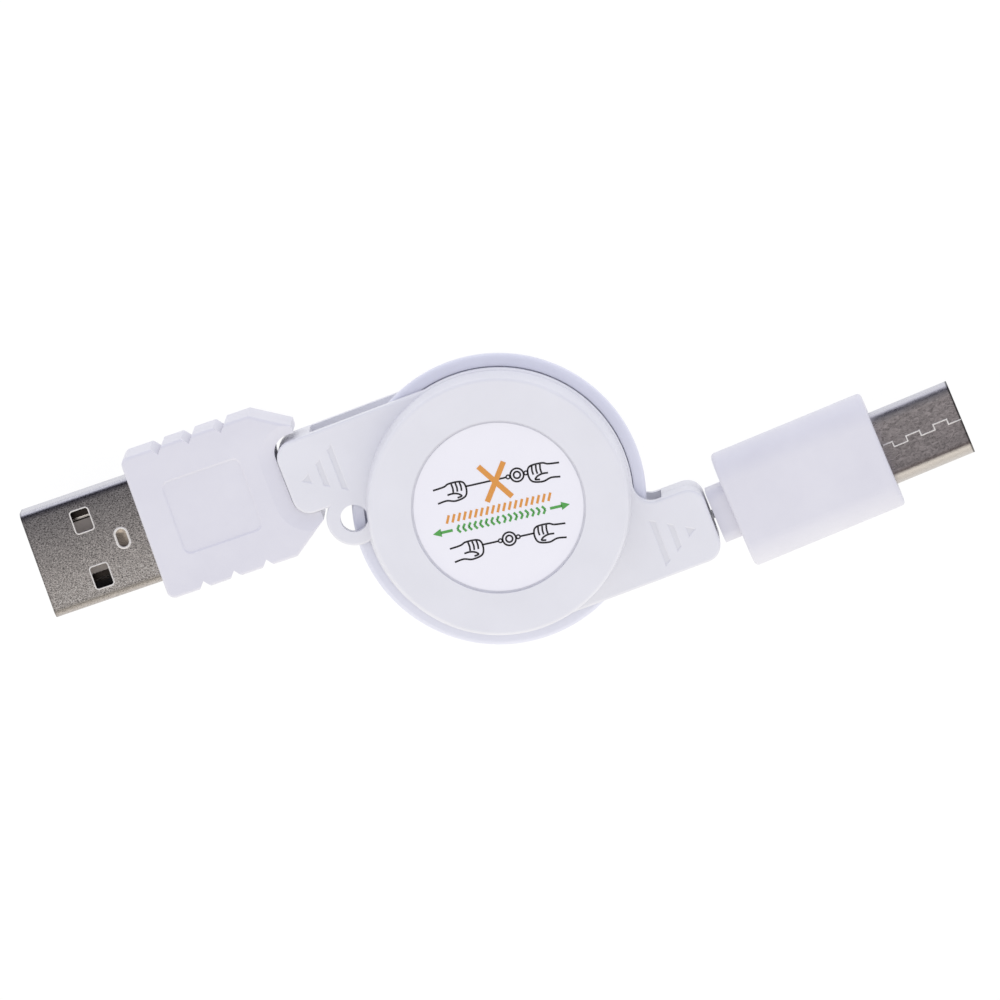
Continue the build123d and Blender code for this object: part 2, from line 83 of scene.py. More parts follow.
def new_material(name, settings):
    """An empty node material with one Principled surface that has these settings."""
    material = bpy.data.materials.new(name)
    material.use_nodes = True
    material.node_tree.nodes.clear()
    surface = add_node(material, "BsdfPrincipled", settings)
    add_node(material, "OutputMaterial", None, {"Surface": surface.outputs["BSDF"]})
    return material, surface


def feed(material, surface, name, output):
    """Links an output to one of the surface's sockets."""
    material.node_tree.links.new(output, surface.inputs[name])


def dress(material, *nodes):
    """Gives CAD nodes a material in place of the plain one that they come with."""
    for node in nodes:
        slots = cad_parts[node].data.materials
        slots.clear()
        slots.append(material)


def moulded(name, light, dark, roughness, grain_mm, grain_depth, flow_mm):
    """Moulded plastic: a faint flow mottle between two colours, and the tool's fine grain as bump and in the
    gloss."""
    material, surface = new_material(name, {"Roughness": roughness, "IOR": 1.5})
    place = add_node(material, "TexCoord").outputs["Object"]
    flow = add_node(
        material, "TexNoise", {"Scale": 1 / (flow_mm * MM), "Detail": 3.0, "Roughness": 0.6},
        {"Vector": place},
    )
    grain = add_node(material, "TexNoise", {"Scale": 1 / (grain_mm * MM), "Detail": 2.0}, {"Vector": place})
    spread = add_node(material, "MapRange", noise_span, {"Value": flow.outputs["Fac"]})
    tint = add_node(
        material, "Mix", {"data_type": "RGBA", 6: linear(light), 7: linear(dark)},
        {0: spread.outputs["Result"]},
    )
    gloss = add_node(
        material, "MapRange", {"To Min": roughness - gloss_swing, "To Max": roughness + gloss_swing},
        {"Value": grain.outputs["Fac"]},
    )
    bump = add_node(material, "Bump", {"Distance": grain_depth * MM}, {"Height": grain.outputs["Fac"]})
    feed(material, surface, "Base Color", tint.outputs[2])
    feed(material, surface, "Roughness", gloss.outputs["Result"])
    feed(material, surface, "Normal", bump.outputs["Normal"])
    return material


# Satin ABS looks an even, faintly cool white, with a soft sheen on its edges. The grain's pits are about
# 0.1 mm wide, drawn at 0.22 mm here and up to 0.3 mm on the other plastics, so that they show at all.
case_abs = moulded("moulded satin ABS, white", "#E9E9EE", "#E5E5EA", 0.42, 0.22, 0.004, 7.0)
dress(case_abs, "rear_cover")


# Spool: the wheel on the post, whose rim stands out between the two covers, with the lock ball's track below.
# Moulded white ABS, polished smoother where it runs. Its lilac tint, bluer and darker than the case, is
# painted shade for the rim that lies under the front cover.

# The smoother tool gives a clearer sheen than the case's, over a white that leans to lilac.
spool_abs = moulded("moulded smooth ABS, cool white", "#E6E7F2", "#E2E3EF", 0.36, 0.3, 0.003, 9.0)
dress(spool_abs, "spool")


# Wound ribbon: the flat four-wire cable on the spool, doubled round the hub so that both ends pay out
# together. Extruded white PVC, with faint ridges along its wires.

# A wave texture's lines lie this many units apart at scale 1.
wave_pitch = 0.314
wire_ridge = 0.03


def extruded(name, light, dark, roughness, pitch_mm):
    """Extruded covering: a soft mottle, and shallow lines a pitch apart over the height, as the wires below
    leave them."""
    material, surface = new_material(name, {"Roughness": roughness, "IOR": 1.53})
    place = add_node(material, "TexCoord").outputs["Object"]
    mottle = add_node(material, "TexNoise", {"Scale": 1 / (2.5 * MM), "Detail": 3.0}, {"Vector": place})
    tint = add_node(
        material, "Mix", {"data_type": "RGBA", 6: linear(light), 7: linear(dark)},
        {0: mottle.outputs["Fac"]},
    )
    lines = add_node(
        material, "TexWave",
        {"bands_direction": "Z", "Scale": wave_pitch / (pitch_mm * MM), "Distortion": 0.3, "Detail": 1.0},
        {"Vector": place},
    )
    bump = add_node(material, "Bump", {"Distance": wire_ridge * MM}, {"Height": lines.outputs["Fac"]})
    feed(material, surface, "Base Color", tint.outputs[2])
    feed(material, surface, "Normal", bump.outputs["Normal"])
    return material


# Soft PVC from a die looks waxy, a little greyer than the case, and catches the light in lines.
ribbon_pvc = extruded("extruded soft PVC, white", "#ECECEE", "#E2E2E6", 0.48, 0.7)
dress(ribbon_pvc, "cable_coil")


# Mainspring, lock ball and cover screw: the steel inside the case.
# Rolled blue-grey strip, a ground ball, and a zinc-plated screw, each with the marks of its making.

rough_less, rough_more = 0.07, 0.09


def worked_metal(name, light, dark, roughness, stretch_mm, depth):
    """Metal with a drawn grain: noise stretched by a different length along each axis tints, roughens and
    bumps it."""
    material, surface = new_material(name, {"Metallic": 1.0, "Roughness": roughness})
    place = add_node(material, "TexCoord").outputs["Object"]
    drawn = add_node(material, "Mapping", {"Scale": [1 / (s * MM) for s in stretch_mm]}, {"Vector": place})
    grain = add_node(
        material, "TexNoise", {"Scale": 1.0, "Detail": 4.0, "Roughness": 0.65},
        {"Vector": drawn.outputs["Vector"]},
    )
    spread = add_node(material, "MapRange", noise_span, {"Value": grain.outputs["Fac"]})
    tint = add_node(
        material, "Mix", {"data_type": "RGBA", 6: linear(dark), 7: linear(light)},
        {0: spread.outputs["Result"]},
    )
    rough = add_node(
        material, "MapRange", {"To Min": roughness - rough_less, "To Max": roughness + rough_more},
        {"Value": spread.outputs["Result"]},
    )
    bump = add_node(material, "Bump", {"Distance": depth * MM}, {"Height": grain.outputs["Fac"]})
    feed(material, surface, "Base Color", tint.outputs[2])
    feed(material, surface, "Roughness", rough.outputs["Result"])
    feed(material, surface, "Normal", bump.outputs["Normal"])
    return material


# Tempered strip is dull and bluish, a ground ball mirrors almost clearly, and zinc is pale and cloudy.
spring_steel = worked_metal(
    "rolled spring steel, blue-grey", "#8C8F96", "#6F7278", 0.34, (0.6, 0.6, 0.08), 0.003
)
ball_steel = worked_metal("ground bearing steel", "#C9C9CB", "#BDBDC0", 0.14, (0.4, 0.4, 0.4), 0.0005)
screw_zinc = worked_metal("zinc-plated steel", "#B9BABB", "#A2A3A2", 0.35, (0.3, 0.3, 0.3), 0.002)
dress(spring_steel, "mainspring")
dress(ball_steel, "lock_ball")
dress(screw_zinc, "cover_screw")


# Front cover: the upper half, with the raised disc, the loop for a strap and a sunk striped arrow on each
# arm. The same white ABS as the rear half, but painted shade makes the arrows' floors, 0.1 mm down, look
# a shade darker.

# The arrows' floors are darkened by arrow_shade as painted shade.
arrow_floor, arrow_reach, arrow_shade = 10.9, 0.03, 0.94
front_abs = case_abs.copy()
front_abs.name = "moulded satin ABS, white, painted shade in arrows"
front_surface = front_abs.node_tree.nodes["Principled BSDF"]
front_place = add_node(front_abs, "TexCoord").outputs["Object"]
front_height = add_node(front_abs, "SeparateXYZ", None, {"Vector": front_place}).outputs["Z"]
sunk = add_node(
    front_abs, "Math", {"operation": "COMPARE", 1: arrow_floor * MM, 2: arrow_reach * MM}, {0: front_height}
)
sunk_painted_shade = add_node(
    front_abs, "Mix",
    {"data_type": "RGBA", 6: (1.0, 1.0, 1.0, 1.0), 7: (arrow_shade, arrow_shade, arrow_shade, 1.0)},
    {0: sunk.outputs[0]},
)
front_tint = add_node(
    front_abs, "Mix", {"data_type": "RGBA", "blend_type": "MULTIPLY", 0: 1.0},
    {6: front_surface.inputs["Base Color"].links[0].from_socket, 7: sunk_painted_shade.outputs[2]},
)
feed(front_abs, front_surface, "Base Color", front_tint.outputs[2])
dress(front_abs, "front_cover")


# Label: a round polyester film in the front cover's recess, printed in black, orange and green.
# Its print is generic: hands pulling a reel's two ends, and the wrong way crossed out.

# Film is whiter and glossier than the case, and never lies quite flat, so its sheen wavers.
film, film_surface = new_material("gloss polyester film, white", {"Roughness": 0.3, "IOR": 1.57})
film_place = add_node(film, "TexCoord").outputs["Object"]
film_wave = add_node(film, "TexNoise", {"Scale": 1 / (3.0 * MM), "Detail": 2.0}, {"Vector": film_place})
film_tint = add_node(
    film, "Mix", {"data_type": "RGBA", 6: linear("#F6F5FA"), 7: linear("#F3F2F8")},
    {0: film_wave.outputs["Fac"]},
)
film_bump = add_node(film, "Bump", {"Distance": 0.004 * MM}, {"Height": film_wave.outputs["Fac"]})
feed(film, film_surface, "Base Color", film_tint.outputs[2])
feed(film, film_surface, "Normal", film_bump.outputs["Normal"])
dress(film, "label")


def tube_mesh(name, tubes, material):
    """One object from tubes, each an (n, m, 3) array in mm of n rings of m points and whether it closes on
    itself. Quads join every ring to the next and each point to its neighbour, and open ends are filled with
    one face."""
    points, faces, start = [], [], 0
    for rings, closed in tubes:
        n, m = rings.shape[:2]
        grid = start + np.arange(n * m).reshape(n, m)
        grid = np.concatenate((grid, grid[:1])) if closed else grid
        beside = np.roll(grid, -1, axis=1)
        quads = np.stack((grid[:-1], grid[1:], beside[1:], beside[:-1]), axis=-1)
        faces += quads.reshape(-1, 4).tolist()
        faces += [] if closed else [grid[0].tolist(), grid[-1, ::-1].tolist()]
        points.append(rings.reshape(-1, 3) * MM)
        start += n * m
    mesh = bpy.data.meshes.new(name)
    mesh.from_pydata(np.concatenate(points), [], faces)
    work = bmesh.new()
    work.from_mesh(mesh)
    bmesh.ops.recalc_face_normals(work, faces=work.faces)
    work.to_mesh(mesh)
    work.free()
    mesh.materials.append(material)
    made = bpy.data.objects.new(name, mesh)
    bpy.context.scene.collection.objects.link(made)
    return made


label_low, label_high = (np.array(v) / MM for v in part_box("label"))
label_mid = (label_low + label_high) / 2
print_turn = np.radians(-8.0)
ink_sunk, ink_proud = 0.004, 0.012


def ink_line(points, width, closed=False, proud=ink_proud):
    """A flat line of ink: a box section of the given width carried along points in the print's own plane,
    whose width may change from point to point, then turned by print_turn about the label's middle and laid
    on its top."""
    p = np.asarray(points, float)
    along = np.roll(p, -1, axis=0) - np.roll(p, 1, axis=0) if closed else np.gradient(p, axis=0)
    along /= np.linalg.norm(along, axis=1, keepdims=True)
    side = np.stack((-along[:, 1], along[:, 0]), axis=1) * np.broadcast_to(width, len(p))[:, None] / 2
    flat = np.stack((p + side, p + side, p - side, p - side), axis=1)
    c, s = np.cos(print_turn), np.sin(print_turn)
    x = label_mid[0] + c * flat[..., 0] - s * flat[..., 1]
    y = label_mid[1] + s * flat[..., 0] + c * flat[..., 1]
    z = label_high[2] + np.broadcast_to(np.array([-ink_sunk, proud, proud, -ink_sunk]), x.shape)
    return np.stack((x, y, z), axis=-1), closed


def smooth(points, steps=9):
    """A soft curve through points: on each span the cubic whose slopes are half the chord between its
    neighbours."""
    p = np.asarray(points, float)
    p = np.concatenate((2 * p[:1] - p[1:2], p, 2 * p[-1:] - p[-2:-1]))
    t = np.linspace(0, 1, steps, endpoint=False)[None, :, None]
    a, b, c, d = (p[i:len(p) - 3 + i, None] for i in range(4))
    curve = b + t * (c - a) / 2 + t ** 2 * (a - 2.5 * b + 2 * c - d / 2)
    curve = curve + t ** 3 * (1.5 * (b - c) + (d - a) / 2)
    return np.concatenate((curve.reshape(-1, 2), p[-2:-1]))


def circle(middle, radius):
    """Points round a circle."""
    turn = np.linspace(0, 2 * np.pi, 40, endpoint=False)
    return np.asarray(middle) + radius * np.stack((np.cos(turn), np.sin(turn)), axis=1)


black_width = 0.19
finger_pitch = 0.45


def fist(tip, facing):
    """A plain fist closed round a cord that ends at tip: an outline from wrist to wrist, three gaps between
    the fingers and the thumb below them."""
    outline = [
        (-3.5, 0.32), (-2.3, 0.45), (-1.7, 0.68), (-0.5, 0.66), (-0.04, 0.28), (0.0, -0.55), (-0.35, -1.1),
        (-1.4, -1.3), (-2.3, -1.08), (-3.3, -1.2),
    ]
    gaps = [
        [(-0.55 - back, 0.6), (-0.48 - back, 0.1), (-0.52 - back, -0.36)]
        for back in finger_pitch * np.arange(3)
    ]
    thumb = [(-2.1, -0.5), (-1.5, -0.46), (-0.95, -0.6), (-0.62, -0.9), (-1.1, -1.02)]
    turned = [np.asarray(tip) + smooth(line) * (facing, 1) for line in [outline, *gaps, thumb]]
    return [ink_line(line, black_width) for line in turned]


# Two rows: each a reel with an eye on either side, and a cord from each eye to the fist at that end.
upper_row, lower_row = 2.95, -3.62
reel_radii, eye_radius, eye_width = (0.72, 0.36), 0.2, black_width * 0.8
eye_out, cord_out = 0.98, 1.2
black = []
for reel_at, left_tip, right_tip, row in ((2.7, -2.95, 3.9, upper_row), (0.36, -2.6, 3.1, lower_row)):
    black += fist((left_tip, row), 1) + fist((right_tip, row), -1)
    black += [ink_line(circle((reel_at, row), r), black_width, True) for r in reel_radii]
    black += [
        ink_line(circle((reel_at + side * eye_out, row), eye_radius), eye_width, True) for side in (-1, 1)
    ]
    black.append(ink_line([(left_tip, row), (reel_at - cord_out, row)], black_width))
    black.append(ink_line([(reel_at + cord_out, row), (right_tip, row)], black_width))

# The cross is printed over the cord, so its ink stands higher, and its second stroke higher still.
cross_width = 0.58
orange = [
    ink_line([(-1.15, 4.75), (1.68, 0.8)], cross_width, proud=0.02),
    ink_line([(1.6, 4.68), (-1.05, 0.8)], cross_width, proud=0.024),
]
mark_pitch = 0.62
bar_width, bar_lean, bar_low, bar_high = 0.27, 0.2, -0.55, 0.3
bar_at = np.arange(-5.6, 5.7, mark_pitch)
orange += [ink_line([(s - bar_lean, bar_low), (s + bar_lean, bar_high)], bar_width) for s in bar_at]

arrow_row = -1.38
shaft_from, shaft_to, shaft_width = 5.35, 6.65, 0.3
head_from, head_to, head_widths = 6.6, 7.5, np.array([0.9, 0.03])
chevron_width, chevron_long, chevron_high = 0.25, 0.3, 0.42
chevron_at = np.arange(0.5, 5.0, mark_pitch)
green = []
for facing in (-1, 1):
    green.append(ink_line([(facing * shaft_from, arrow_row), (facing * shaft_to, arrow_row)], shaft_width))
    green.append(ink_line([(facing * head_from, arrow_row), (facing * head_to, arrow_row)], head_widths))
    for s in chevron_at:
        point, wing = (facing * s, arrow_row), facing * s - facing * chevron_long
        green += [
            ink_line([(wing, arrow_row + side * chevron_high), point], chevron_width) for side in (-1, 1)
        ]


def ink(name, colour):
    """Screen-printed ink: one colour, thinner and paler in fine specks."""
    material, surface = new_material(name, {"Roughness": 0.4})
    place = add_node(material, "TexCoord").outputs["Object"]
    speck = add_node(material, "TexNoise", {"Scale": 1 / (0.12 * MM), "Detail": 2.0}, {"Vector": place})
    thin = add_node(
        material, "MapRange", {"From Min": 0.6, "From Max": 0.85, "To Max": 0.25},
        {"Value": speck.outputs["Fac"]},
    )
    tint = add_node(
        material, "Mix", {"data_type": "RGBA", 6: linear(colour), 7: linear("#E8E8EC")},
        {0: thin.outputs["Result"]},
    )
    feed(material, surface, "Base Color", tint.outputs[2])
    return material


# Dried ink is flat and full in colour, duller than the film that it lies on.
for name, lines, colour in (
    ("label_print_black", black, "#151016"),
    ("label_print_orange", orange, "#E39A44"),
    ("label_print_green", green, "#55A84F"),
):
    printed = tube_mesh(name, lines, ink("screen ink, " + name.rsplit("_", 1)[1], colour))
    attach(printed, "case")


# Leads: the ribbon's two ends, from the winding through each arm's mouth into the plug.
# The same soft PVC.

ribbon_thick, ribbon_wide, wires = 0.7, 2.6, 4
ribbon_z = (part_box("lead_a")[0].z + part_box("lead_a")[1].z) / 2 / MM
bend_soft = 2.0
oval_power = 0.35
rib_share = 0.1


def lead(name, wound, mouth, plug):
    """A flat ribbon whose middle line is two straight runs joined at the mouth by a hyperbola: y is the mid
    slope times x, plus half the slopes' difference times what the root of x squared plus softness squared
    has over the softness. Its section is a flat oval with shallow ribs, each wire's own, over its height."""
    wound, mouth, plug = (np.asarray(v, float) for v in (wound, mouth, plug))
    share = np.concatenate((np.linspace(0, 1, 18, endpoint=False), np.linspace(1, 2, 61)))
    x = np.interp(share, [0, 1, 2], [wound[0], mouth[0], plug[0]]) - mouth[0]
    slope_in = (wound[1] - mouth[1]) / (wound[0] - mouth[0])
    slope_out = (plug[1] - mouth[1]) / (plug[0] - mouth[0])
    soft = np.sqrt(x ** 2 + bend_soft ** 2) - bend_soft
    y = (slope_in + slope_out) / 2 * x + np.sign(wound[0] - mouth[0]) * (slope_in - slope_out) / 2 * soft
    line = np.stack((x, y), axis=1)
    along = np.gradient(line, axis=0)
    along /= np.linalg.norm(along, axis=1, keepdims=True)
    turn = np.linspace(0, 2 * np.pi, 64, endpoint=False)
    height = ribbon_wide / 2 * np.sign(np.cos(turn)) * np.abs(np.cos(turn)) ** oval_power
    half = ribbon_thick / 2 * np.sign(np.sin(turn)) * np.abs(np.sin(turn)) ** oval_power
    rib = np.abs(np.cos(wires * np.pi * (height / ribbon_wide + 0.5 / wires)))
    half = half * (1 - rib_share + rib_share * rib)
    rings = np.empty((len(line), len(turn), 3))
    rings[..., 0] = mouth[0] + line[:, None, 0] - along[:, None, 1] * half
    rings[..., 1] = mouth[1] + line[:, None, 1] + along[:, None, 0] * half
    rings[..., 2] = ribbon_z + height
    made = tube_mesh(name, [(rings, False)], ribbon_pvc)
    made.data.shade_smooth()
    return made


for plug, side, wound, mouth, entry in (
    ("a", "plug_a", (-3.63, 14.0), (-18.625, 10.105), (-24.3, 10.1)),
    ("c", "plug_c", (3.63, -14.0), (18.625, -10.105), (26.75, -10.25)),
):
    strip = lead("ribbon_end_" + plug, wound, mouth, entry)
    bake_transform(strip)
    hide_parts("lead_" + plug)


# A plug's inside: contacts on a two-coloured tongue, wires soldered behind them and the stiff inner mould
# round those. Stamped and tinned phosphor bronze on nylon; the wires are covered in PVC, the inner mould is
# hard polyethylene.

# The contacts' tin is painted dark and dull as shade for the plug's dark inside, the wires' cover is a waxy
# red, and polyethylene is milky.
shade_darkened_tin = worked_metal("tinned bronze, painted shade", "#57504B", "#3C3733", 0.3, (0.5, 0.06, 0.3), 0.001)
wire_cover = extruded("extruded PVC wire cover, red", "#B23A34", "#9E2F2B", 0.4, 0.2)
inner_mould = moulded("moulded polyethylene, milky", "#E9E8E2", "#E2E1DA", 0.5, 0.3, 0.004, 3.0)
dress(shade_darkened_tin, "a_contacts")
dress(wire_cover, "a_wires")
dress(inner_mould, "a_core")

# The plug lies along its own axis u, turned a little from the case's, with v across it.
a_place, a_turn, a_length = np.array([-20.3, 9.985]), 180 - 1.7, 28.9
a_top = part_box("a_shell")[1].z / MM
a_axis = np.array([np.cos(np.radians(a_turn)), np.sin(np.radians(a_turn))])
a_across = np.array([a_axis[1], -a_axis[0]])
a_middle = a_place @ a_across

# The tongue is satin cream between the outer contacts and black beyond them.
cream_half = 3.02
tongue = moulded("moulded nylon, cream and black", "#E2D8CF", "#DACFC6", 0.4, 0.2, 0.003, 2.5)
tongue_surface = tongue.node_tree.nodes["Principled BSDF"]
tongue_place = add_node(tongue, "TexCoord").outputs["Object"]
tongue_across = add_node(
    tongue, "VectorMath", {"operation": "DOT_PRODUCT", 1: (*a_across, 0.0)}, {0: tongue_place}
)
cream = add_node(
    tongue, "Math", {"operation": "COMPARE", 1: a_middle * MM, 2: cream_half * MM},
    {0: tongue_across.outputs["Value"]},
)
tongue_tint = add_node(
    tongue, "Mix", {"data_type": "RGBA", 6: linear("#242224")},
    {0: cream.outputs[0], 7: tongue_surface.inputs["Base Color"].links[0].from_socket},
)
feed(tongue, tongue_surface, "Base Color", tongue_tint.outputs[2])
dress(tongue, "a_insulator")


def on_plug(u, v, z, place, turn_deg):
    """Points given in a plug's own axes: u and v turned by turn_deg and moved to the plug's place, z kept."""
    c, s = np.cos(np.radians(turn_deg)), np.sin(np.radians(turn_deg))
    return np.stack((place[0] + c * u - s * v, place[1] + s * u + c * v, z), axis=-1)


def plug_tube(sections, place, turn_deg):
    """A tube with filled ends from rings of (u, v, z) points in a plug's own axes."""
    p = np.asarray(sections, float)
    return on_plug(p[..., 0], p[..., 1], p[..., 2], place, turn_deg), False


# Each outer contact has a stamped ridge that slopes towards the front and catches the light through the
# shell's windows; its near-white tin is a painted glint.
ridge_wide, ridge_high, ridge_sunk = 0.26, 0.055, 0.03
ridge_ends = (20.0, 27.0)
contact_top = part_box("a_contacts")[1].z / MM
ridges = []
for ridge_v in (-3.4, 3.6):
    section = [
        (ridge_v, contact_top - ridge_sunk), (ridge_v, contact_top + ridge_high),
        (ridge_v + ridge_wide, contact_top), (ridge_v + ridge_wide, contact_top - ridge_sunk),
    ]
    ridges.append(plug_tube([[(u, *point) for point in section] for u in ridge_ends], a_place, a_turn))
glint_painted_tin = worked_metal(
    "tinned bronze, painted glint", "#EEEAE6", "#DAD5D0", 0.2, (0.5, 0.06, 0.3), 0.0005
)
contact_ridges = tube_mesh("a_contact_ridges", ridges, glint_painted_tin)
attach(contact_ridges, "plug_a")


# A plug's shell: folded from nickel-plated steel sheet, with two square windows and a pressed dimple on the
# broad face. Rolling leaves a grain along the plug, so the flat face looks dull, brown and speckled; its bent
# edges are painted brighter as reflection.

sheet_span = {"From Min": 0.34, "From Max": 0.66}
sheet_rough = {"To Min": 0.24, "To Max": 0.38}
lip_start, lip_full = 0.22, 0.12


def plated_sheet(name, stops, grain_mm, swing, swirl, depth, turn_deg, middle_mm, tip_mm, tip_shade):
    """Plated sheet. Its colour runs across the plug through stops, each a distance from the middle in mm, a
    colour and how much of the rolled grain shows there; the stops paint reflections and light. The grain is
    noise stretched along the plug, which tints by up to swing either way, roughens and dents. The cut tip is
    darkened to tip_shade of its colour. The plug's own axes lie turned by turn_deg."""
    material, surface = new_material(name, {"Metallic": 1.0})
    place = add_node(material, "TexCoord").outputs["Object"]
    turn = np.radians(turn_deg)
    ahead = (np.cos(turn), np.sin(turn), 0.0)
    rear = np.sign(np.cos(turn)) * np.array([-np.sin(turn), np.cos(turn), 0.0])
    across = add_node(material, "VectorMath", {"operation": "DOT_PRODUCT", 1: rear.tolist()}, {0: place})
    along = add_node(material, "VectorMath", {"operation": "DOT_PRODUCT", 1: ahead}, {0: place})
    low, high = stops[0][0], stops[-1][0]
    share = add_node(
        material, "MapRange", {"From Min": (middle_mm + low) * MM, "From Max": (middle_mm + high) * MM},
        {"Value": across.outputs["Value"]},
    )
    bands = add_node(material, "ValToRGB", None, {"Fac": share.outputs["Result"]})
    places = bands.color_ramp.elements
    for _ in stops[2:]:
        places.new(0.5)
    for stop, (at, colour, shows) in zip(places, stops):
        stop.position = (at - low) / (high - low)
        stop.color = (*linear(colour)[:3], shows)
    drawn = add_node(material, "Mapping", {"Scale": [1 / (s * MM) for s in grain_mm]}, {"Vector": place})
    grain = add_node(
        material, "TexNoise", {"Scale": 1.0, "Detail": 3.0, "Roughness": 0.7, "Distortion": swirl},
        {"Vector": drawn.outputs["Vector"]},
    )
    spread = add_node(material, "MapRange", sheet_span, {"Value": grain.outputs["Fac"]})
    speckle = add_node(
        material, "MapRange", {"To Min": 1.0 - swing, "To Max": 1.0 + swing},
        {"Value": spread.outputs["Result"]},
    )
    lip = add_node(
        material, "MapRange",
        {"From Min": (tip_mm - lip_start) * MM, "From Max": (tip_mm - lip_full) * MM,
         "To Min": 1.0, "To Max": tip_shade},
        {"Value": along.outputs["Value"]},
    )
    speckled = add_node(
        material, "Mix", {"data_type": "RGBA", "blend_type": "MULTIPLY"},
        {0: bands.outputs["Alpha"], 6: bands.outputs["Color"], 7: speckle.outputs["Result"]},
    )
    grain_and_tip_tone = add_node(
        material, "Mix", {"data_type": "RGBA", "blend_type": "MULTIPLY", 0: 1.0},
        {6: speckled.outputs[2], 7: lip.outputs["Result"]},
    )
    rough = add_node(material, "MapRange", sheet_rough, {"Value": spread.outputs["Result"]})
    bump = add_node(material, "Bump", {"Distance": depth * MM}, {"Height": grain.outputs["Fac"]})
    feed(material, surface, "Base Color", grain_and_tip_tone.outputs[2])
    feed(material, surface, "Roughness", rough.outputs["Result"])
    feed(material, surface, "Normal", bump.outputs["Normal"])
    return material


# Painted reflections: the creases are painted dark and the bent sides bright, as the bends would mirror the
# tent. Between them a painted light gradient takes the face from warm and pale at the front to cool and
# darker at the rear.
a_painted_light_stops = (
    (-5.65, "#BBB4AE", 0.4), (-5.3, "#74706C", 0.8), (-4.95, "#E0DAD6", 1.0),
    (4.9, "#969395", 1.0), (5.58, "#74727A", 1.0), (5.8, "#C6C6CF", 0.3),
)
# The rolled grain is about 0.05 mm wide, drawn at 0.1 mm so that it shows.
a_nickel = plated_sheet(
    "nickel-plated rolled steel", a_painted_light_stops, (0.17, 0.1, 0.14), 0.75, 0.0, 0.006, a_turn, a_middle,
    a_place @ a_axis + a_length, 0.7,
)
dress(a_nickel, "a_shell")

# The rims and the seam are painted near white, a painted highlight for the light that the sheet's edges
# catch.
highlight_edge, highlight_edge_surface = new_material("nickel edge, painted highlight", {"Metallic": 0.5, "Roughness": 0.6})
edge_place = add_node(highlight_edge, "TexCoord").outputs["Object"]
edge_highlight_mottle = add_node(
    highlight_edge, "TexNoise", {"Scale": 1 / (0.4 * MM), "Detail": 2.0}, {"Vector": edge_place}
)
edge_highlight_tint = add_node(
    highlight_edge, "Mix", {"data_type": "RGBA", 6: linear("#FBF9F7"), 7: linear("#E4E0DC")},
    {0: edge_highlight_mottle.outputs["Fac"]},
)
feed(highlight_edge, highlight_edge_surface, "Base Color", edge_highlight_tint.outputs[2])


def bead(line, radius, closed, place, turn_deg, top):
    """A half-round bead along a flat line of points in a plug's own axes: rings of 9 points, each ring turned
    to the mean of the directions before and after it and widened at corners, and half as high as a round
    bead."""
    p = np.asarray(line, float)
    after = np.roll(p, -1, axis=0) - p
    after = after if closed else np.concatenate((after[:-1], after[-2:-1]))
    before = np.roll(after, 1, axis=0) if closed else np.concatenate((after[:1], after[:-1]))
    before, after = (v / np.linalg.norm(v, axis=1, keepdims=True) for v in (before, after))
    mean = (before + after) / np.linalg.norm(before + after, axis=1, keepdims=True)
    mitre = radius / np.sum(mean * after, axis=1)
    arc = np.linspace(0, np.pi, 8)
    arc_side, arc_up = np.append(np.cos(arc), 0.0), np.append(np.sin(arc), -1.0)
    u = p[:, :1] - mean[:, 1:] * mitre[:, None] * arc_side
    v = p[:, 1:] + mean[:, :1] * mitre[:, None] * arc_side
    z = np.broadcast_to(top + radius / 2 * arc_up, u.shape)
    return on_plug(u, v, z, place, turn_deg), closed


def rounded_frame(middle, length, width, corner):
    """Points round a rectangle whose corners are quarter circles."""
    turn = np.radians(np.arange(0, 360, 18.0) + 9.0)
    way = np.stack((np.cos(turn), np.sin(turn)), axis=1)
    return np.asarray(middle) + np.sign(way) * (length / 2 - corner, width / 2 - corner) + corner * way


# Punching turns the windows' edges up a little, and pressing the dimple's, so each has a rounded rim,
# painted bright as a highlight.
window_u, window_v, window_size, window_rim = 22.7, 3.2, (2.1, 2.6, 0.35), 0.075
dimple_at, dimple_size, dimple_rim = (19.2, 0.0), np.array([1.4, 2.25, 0.69]), 0.13
rims = [
    bead(rounded_frame((window_u, v), *window_size), window_rim, True, a_place, a_turn, a_top)
    for v in (-window_v, window_v)
]
rims.append(bead(rounded_frame(dimple_at, *dimple_size), dimple_rim, True, a_place, a_turn, a_top))
window_rims = tube_mesh("a_shell_window_rims", rims, highlight_edge)
window_rims.data.shade_smooth()
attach(window_rims, "plug_a")

# The dimple's floor is dished: ovals that widen from the middle line to the rim and rise by the square of
# the way there, on a flat base.
dish_in = np.linspace(0.68, 0.06, 9)
dish_depth, dish_base = 0.18, 0.25
dish_way = (dish_in[0] - dish_in) / (dish_in[0] - dish_in[-1])
dish_z = a_top - dish_depth * (1 - dish_way ** 2)
dish_rings = [rounded_frame(dimple_at, *(dimple_size - (2 * d, 2 * d, d))) for d in dish_in]
dish = [np.column_stack((ring, np.full(len(ring), z))) for ring, z in zip(dish_rings, dish_z)]
dish.append(dish[-1] * (1, 1, 0) + (0, 0, a_top - dish_base))
# The press burnishes the plating to a soft brownish mirror.
pressed = worked_metal("pressed nickel-plated steel", "#B9AEA3", "#91877D", 0.25, (0.3, 0.1, 0.2), 0.001)
dimple_floor = tube_mesh("a_shell_dimple_floor", [plug_tube(dish, a_place, a_turn)], pressed)
dimple_floor.data.shade_smooth()
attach(dimple_floor, "plug_a")


# A plug's outer mould: the grip, with three notches on each side and a sunk bare panel.
# Soft white PVC moulded over the inner mould, satin from a bead-blasted tool.

